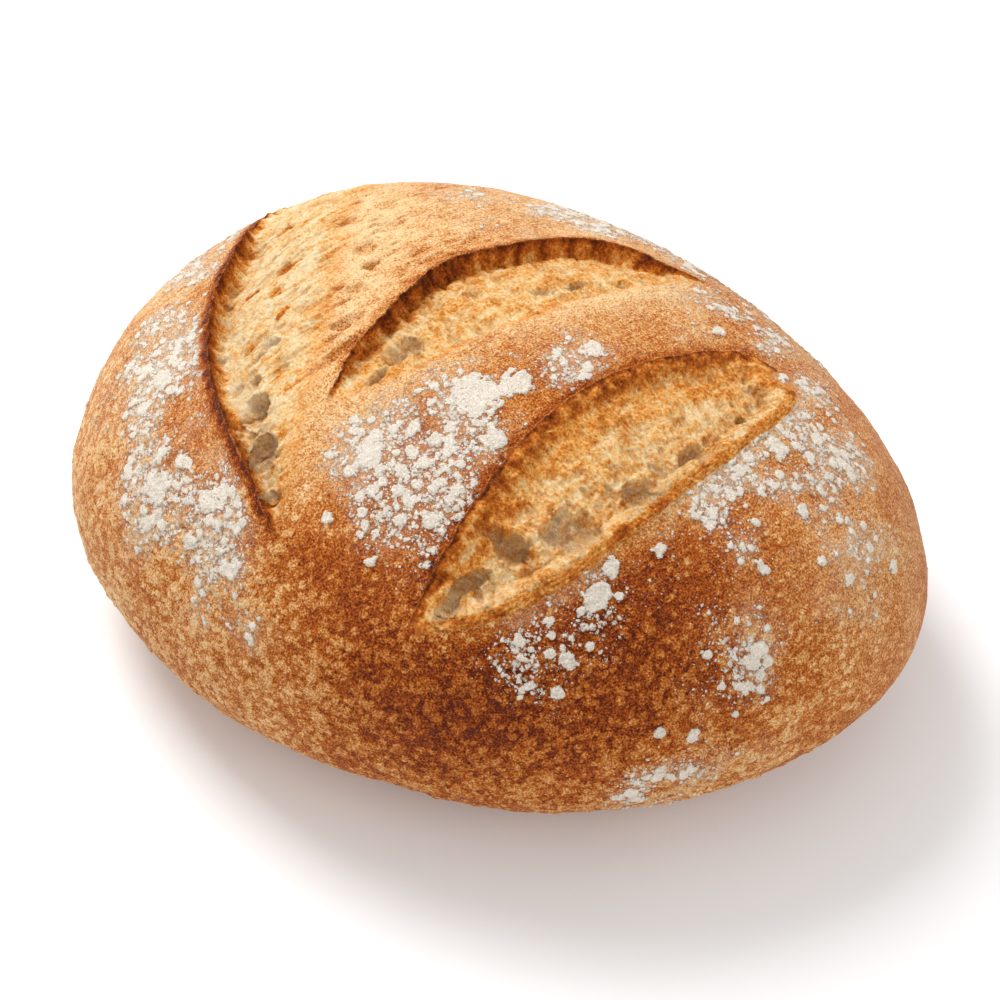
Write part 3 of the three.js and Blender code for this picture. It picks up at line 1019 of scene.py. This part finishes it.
class Nodes:
    """Adds shader nodes to one material and links them."""

    def __init__(self, material):
        self.tree = material.node_tree
        self.tree.nodes.clear()

    def add(self, kind, **settings):
        node = self.tree.nodes.new(kind)
        for name, value in settings.items():
            setattr(node, name, value)
        return node

    def link(self, output, socket):
        self.tree.links.new(output, socket)

    def feed(self, socket, value):
        if isinstance(value, bpy.types.NodeSocket):
            self.link(value, socket)
        else:
            socket.default_value = value

    def mask(self, name):
        return self.add("ShaderNodeAttribute", attribute_name=name).outputs["Fac"]

    def math(self, operation, first, second):
        node = self.add("ShaderNodeMath", operation=operation)
        self.feed(node.inputs[0], first)
        self.feed(node.inputs[1], second)
        return node.outputs[0]

    def plus(self, base, value, scale):
        """base + value * scale"""
        return self.math("ADD", base, self.math("MULTIPLY", value, scale))

    def step(self, value, low, high):
        """0 below low to 1 above high, smoothly."""
        node = self.add("ShaderNodeMapRange", interpolation_type="SMOOTHSTEP")
        self.feed(node.inputs["Value"], value)
        node.inputs["From Min"].default_value = low
        node.inputs["From Max"].default_value = high
        return node.outputs["Result"]

    def texture(self, kind, vector, size, **settings):
        """A texture over coordinates in mm, with features size mm across."""
        node = self.add(kind, **settings)
        self.link(vector, node.inputs["Vector"])
        node.inputs["Scale"].default_value = 1 / size
        return node

    def noise(self, vector, size, detail=3.0, roughness=0.6):
        """Noise of about -1 to 1 with features size mm across."""
        node = self.texture("ShaderNodeTexNoise", vector, size)
        node.inputs["Detail"].default_value = detail
        node.inputs["Roughness"].default_value = roughness
        return self.math("MULTIPLY", self.math("SUBTRACT", node.outputs["Fac"], 0.5), 4.0)

    def grains(self, vector, size, amount):
        """Scattered rounded grains about size mm across; more and wider ones where amount is more."""
        node = self.texture("ShaderNodeTexVoronoi", vector, size)
        number = self.add("ShaderNodeSeparateColor")
        self.link(node.outputs["Color"], number.inputs["Color"])
        spare = self.plus(amount, number.outputs["Red"], -0.75)
        return self.step(self.plus(spare, node.outputs["Distance"], -0.85), 0.0, 0.14)

    def cell_edges(self, vector, size, width):
        """1 along the edges between cells about size mm across."""
        node = self.texture("ShaderNodeTexVoronoi", vector, size, feature="DISTANCE_TO_EDGE")
        return self.step(node.outputs["Distance"], width, 0.0)

    def ramp(self, value, tones):
        node = self.add("ShaderNodeValToRGB")
        elements = node.color_ramp.elements
        while len(elements) < len(tones):
            elements.new(0.5)
        for element, (place, tone) in zip(elements, tones):
            element.position = place
            element.color = linear(*tone)
        self.link(value, node.inputs["Fac"])
        return node.outputs["Color"]

    def mix_colour(self, share, first, second):
        node = self.add("ShaderNodeMixRGB")
        self.feed(node.inputs["Fac"], share)
        self.feed(node.inputs["Color1"], first)
        self.feed(node.inputs["Color2"], second)
        return node.outputs["Color"]

    def mix_value(self, share, first, second):
        node = self.add("ShaderNodeMix", data_type="FLOAT")
        self.feed(node.inputs[0], share)
        self.feed(node.inputs[2], first)
        self.feed(node.inputs[3], second)
        return node.outputs[0]

    def bump(self, height, depth, normal=None):
        """Relief of a height that swings by about 1, as depth in mm."""
        node = self.add("ShaderNodeBump")
        node.inputs["Strength"].default_value = 1.0
        node.inputs["Distance"].default_value = depth / MM_PER_M
        self.link(height, node.inputs["Height"])
        if normal is not None:
            self.link(normal, node.inputs["Normal"])
        return node.outputs["Normal"]

    def surface(self, **sockets):
        """The material's surface, with these of its shader's sockets set or linked."""
        shader = self.add("ShaderNodeBsdfPrincipled")
        for name, value in sockets.items():
            self.feed(shader.inputs[name.replace("_", " ")], value)
        output = self.add("ShaderNodeOutputMaterial")
        self.link(shader.outputs["BSDF"], output.inputs["Surface"])


def millimetres(nodes):
    """The object's own coordinates in mm."""
    scale = nodes.add("ShaderNodeVectorMath", operation="SCALE")
    nodes.link(nodes.add("ShaderNodeTexCoord").outputs["Object"], scale.inputs[0])
    scale.inputs["Scale"].default_value = MM_PER_M
    return scale.outputs[0]


def warped(nodes, place, size, reach):
    """Coordinates pushed about by noise, so that round shapes turn ragged."""
    noise = nodes.texture("ShaderNodeTexNoise", place, size)
    shift = nodes.add("ShaderNodeVectorMath", operation="MULTIPLY_ADD")
    nodes.link(noise.outputs["Color"], shift.inputs[0])
    shift.inputs[1].default_value = (reach, reach, reach)
    nodes.link(place, shift.inputs[2])
    return shift.outputs[0]


def squeezed_place(nodes, place, along_x, along_y, stretch):
    """The same squeezed coordinates as the relief's, for the material."""
    parts = nodes.add("ShaderNodeCombineXYZ")
    across = (along_y, -along_x, 0)
    along = (along_x / stretch, along_y / stretch, 0)
    for socket, direction in zip(parts.inputs, (across, along, (0, 0, FIBRE_DEPTH))):
        dot = nodes.add("ShaderNodeVectorMath", operation="DOT_PRODUCT")
        nodes.link(place, dot.inputs[0])
        dot.inputs[1].default_value = direction
        nodes.link(dot.outputs["Value"], socket)
    return parts.outputs[0]


def crust_skin(nodes, place, fibre):
    """The baked crust's colour and relief."""
    ragged = warped(nodes, place, 0.8, 0.9)
    mottle = nodes.noise(place, 2.6, 4.0, 0.65)
    grit = nodes.noise(place, 0.55, 3.0, 0.6)
    strokes = nodes.noise(fibre, 0.9, 3.0, 0.65)
    fleck = nodes.mask("fleck")
    pale_dots = nodes.grains(ragged, 1.0, nodes.plus(0.20, fleck, 0.36))
    # The crust's brown level, which holds painted light and shade from the patches as well as real
    # baking.
    browning_and_light = nodes.plus(nodes.mask("browning_and_light"), mottle, 0.13)
    browning_and_light = nodes.plus(browning_and_light, grit, 0.40)
    browning_and_light = nodes.plus(browning_and_light, strokes, 0.14)
    browning_and_light = nodes.plus(browning_and_light, fleck, -0.24)
    colour = nodes.ramp(browning_and_light, CRUST_TONES)
    colour = nodes.mix_colour(nodes.math("MULTIPLY", pale_dots, 0.44), colour, linear(*FLECK_TONE))
    height = nodes.plus(nodes.plus(grit, mottle, 1.0), pale_dots, 1.2)
    height = nodes.plus(height, strokes, 0.7)
    return colour, height


def crumb_skin(nodes, place, fibre):
    """The opened crumb's colour and relief: stretched strands, painted shade in bubbles and pores, and
    thin pale webs.
    """
    across = squeezed_place(nodes, place, *STRANDS)
    ragged = warped(nodes, across, 1.8, 2.4)
    baked = nodes.mask("toast")
    strokes = nodes.noise(fibre, 0.8, 3.0, 0.65)
    strands = nodes.mix_value(nodes.mask("strand"), strokes, nodes.noise(across, 0.9, 3.0, 0.65))
    strands = nodes.math("MULTIPLY", strands, nodes.step(baked, 0.75, 0.3))
    fuzz = nodes.noise(place, 0.9, 4.0, 0.7)
    web = nodes.cell_edges(ragged, 1.6, 0.07)
    toast = nodes.plus(baked, strands, 0.16)
    toast = nodes.plus(toast, fuzz, 0.30)
    colour = nodes.ramp(toast, CRUMB_TONES)
    # Painted shade: bubbles and pores are darkened towards a shaded brown.
    hollow_shade = nodes.mask("hollow_shade")
    colour = nodes.mix_colour(nodes.math("MULTIPLY", hollow_shade, 0.74), colour, linear(*HOLLOW_SHADE_TONE))
    web = nodes.math("MULTIPLY", web, nodes.step(baked, 0.42, 0.22))
    web_share = nodes.math("MULTIPLY", web, nodes.plus(0.24, hollow_shade, 0.60))
    colour = nodes.mix_colour(web_share, colour, linear(*CRUMB_TONES[0][1]))
    height = nodes.plus(nodes.plus(fuzz, strands, 0.6), web, 1.2)
    return colour, height


def flour_coat(nodes, place, powder, colour):
    """Flour over a colour, as clumps, crumbs and specks with thin dust between them: the new colour,
    and how much flour and how much dust lies there."""
    ragged = warped(nodes, place, 0.6, 0.9)
    density = nodes.mask("flour")
    crumbs = nodes.grains(ragged, 1.35, nodes.plus(-0.03, density, 0.68))
    specks = nodes.grains(ragged, 0.70, nodes.plus(0.04, density, 0.62))
    clump = nodes.step(nodes.plus(nodes.mask("clump"), powder, 0.34), 0.40, 0.66)
    flour = nodes.math("MAXIMUM", clump, nodes.math("MAXIMUM", crumbs, specks))
    dust = nodes.step(nodes.plus(nodes.mask("dust"), powder, 0.20), 0.12, 1.05)
    dust = nodes.math("MULTIPLY", dust, nodes.step(nodes.mask("browning_and_light"), 0.78, 0.45))
    colour = nodes.mix_colour(nodes.math("MULTIPLY", dust, 0.36), colour, linear(*DUST_TONE))
    # Painted light and shade: flour is mixed from a lit white and a shaded grey by the same noise that
    # bumps it.
    lit = nodes.step(powder, -0.8, 0.6)
    flour_colour = nodes.mix_colour(lit, linear(*FLOUR_PAINTED_SHADE), linear(*FLOUR_WHITE))
    colour = nodes.mix_colour(nodes.math("MULTIPLY", flour, 0.94), colour, flour_colour)
    return colour, flour, dust


def new_material(name):
    material = bpy.data.materials.new(name)
    material.use_nodes = True
    return material, Nodes(material)


def bread_material():
    """Baked crust, opened crumb and flour in one skin, laid out by the surface's masks."""
    material, nodes = new_material("bread")
    place = millimetres(nodes)
    fibre = squeezed_place(nodes, place, *STROKES)
    crumb = nodes.mask("crumb")
    crust_colour, crust_height = crust_skin(nodes, place, fibre)
    crumb_colour, crumb_height = crumb_skin(nodes, place, fibre)
    colour = nodes.mix_colour(crumb, crust_colour, crumb_colour)
    powder = nodes.noise(place, 0.45, 3.0, 0.7)
    colour, flour, dust = flour_coat(nodes, place, powder, colour)

    crust_roughness = nodes.plus(CRUST_ROUGHNESS, nodes.noise(place, 3.0), 0.08)
    roughness = nodes.mix_value(crumb, crust_roughness, CRUMB_ROUGHNESS)
    roughness = nodes.mix_value(nodes.math("MAXIMUM", flour, dust), roughness, FLOUR_ROUGHNESS)

    height = nodes.mix_value(crumb, crust_height, nodes.math("MULTIPLY", crumb_height, 0.45))
    normal = nodes.bump(height, SKIN_RELIEF)
    normal = nodes.bump(nodes.plus(flour, powder, 0.35), FLOUR_RELIEF, normal)
    nodes.surface(Base_Color=colour, Roughness=roughness, Normal=normal, Specular_IOR_Level=BREAD_SHINE)
    return material


def floor_material():
    """Matt off-white paper with the faintest tooth."""
    material, nodes = new_material("pale_floor")
    tooth = nodes.bump(nodes.noise(millimetres(nodes), 12.0), FLOOR_RELIEF)
    nodes.surface(Base_Color=linear(*FLOOR_TONE), Roughness=FLOOR_ROUGHNESS, Normal=tooth)
    return material


# ------------ Camera, light and floor ------------

CAMERA_AZIMUTH = 27.4
CAMERA_ELEVATION = 50.0
CAMERA_DISTANCE = 0.670
CAMERA_LENS = 85.0
SENSOR_WIDTH = 36.0
AIM_BELOW_MIDDLE = 0.0109
FLOOR_SIZE = 6.0
WORLD_STRENGTH = 0.70

# Softboxes: name, azimuth and elevation in degrees, distance and side in metres, and watts.
SOFTBOXES = (
    ("key_light", 245, 52, 1.6, 0.7, 21),
    ("fill_light", 60, 40, 2.0, 1.6, 9),
)


def direction_from(azimuth, elevation):
    """Unit vector from the loaf towards a place at this azimuth and elevation, in degrees."""
    a, e = math.radians(azimuth), math.radians(elevation)
    return Vector((math.sin(a) * math.cos(e), -math.cos(a) * math.cos(e), math.sin(e)))


def add_camera():
    back = direction_from(CAMERA_AZIMUTH, CAMERA_ELEVATION)
    turn = (-back).to_track_quat("-Z", "Y")
    upward = turn @ Vector((0, 1, 0))
    aim = Vector((0, 0, HEIGHT / MM_PER_M / 2)) - upward * AIM_BELOW_MIDDLE
    camera = add_object("camera", bpy.data.cameras.new("camera"))
    camera.data.lens = CAMERA_LENS
    camera.data.sensor_width = SENSOR_WIDTH
    camera.location = aim + back * CAMERA_DISTANCE
    camera.rotation_mode = "QUATERNION"
    camera.rotation_quaternion = turn
    bpy.context.scene.camera = camera


def add_softbox(name, azimuth, elevation, distance, size, power):
    away = direction_from(azimuth, elevation)
    light = bpy.data.lights.new(name, "AREA")
    light.shape = "SQUARE"
    light.size = size
    light.energy = power
    lamp = add_object(name, light)
    lamp.location = away * distance
    lamp.rotation_mode = "QUATERNION"
    lamp.rotation_quaternion = away.to_track_quat("Z", "Y")


def add_light():
    world = bpy.data.worlds.new("studio")
    world.use_nodes = True
    background = world.node_tree.nodes["Background"]
    background.inputs["Color"].default_value = (1.0, 1.0, 1.0, 1.0)
    background.inputs["Strength"].default_value = WORLD_STRENGTH
    bpy.context.scene.world = world
    for softbox in SOFTBOXES:
        add_softbox(*softbox)


def add_floor():
    mesh = bpy.data.meshes.new("floor")
    half = FLOOR_SIZE / 2
    corners = [(-half, -half, 0), (half, -half, 0), (half, half, 0), (-half, half, 0)]
    mesh.from_pydata(corners, [], [(0, 1, 2, 3)])
    floor = add_object("floor", mesh)
    floor.data.materials.append(floor_material())


# ------------ The scene ------------

add_camera()
add_light()
add_floor()
bpy.context.scene.view_settings.view_transform = "Standard"

loaf = loaf_object(build_surface())
loaf.data.materials.append(bread_material())
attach(loaf, "root")
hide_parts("loaf")
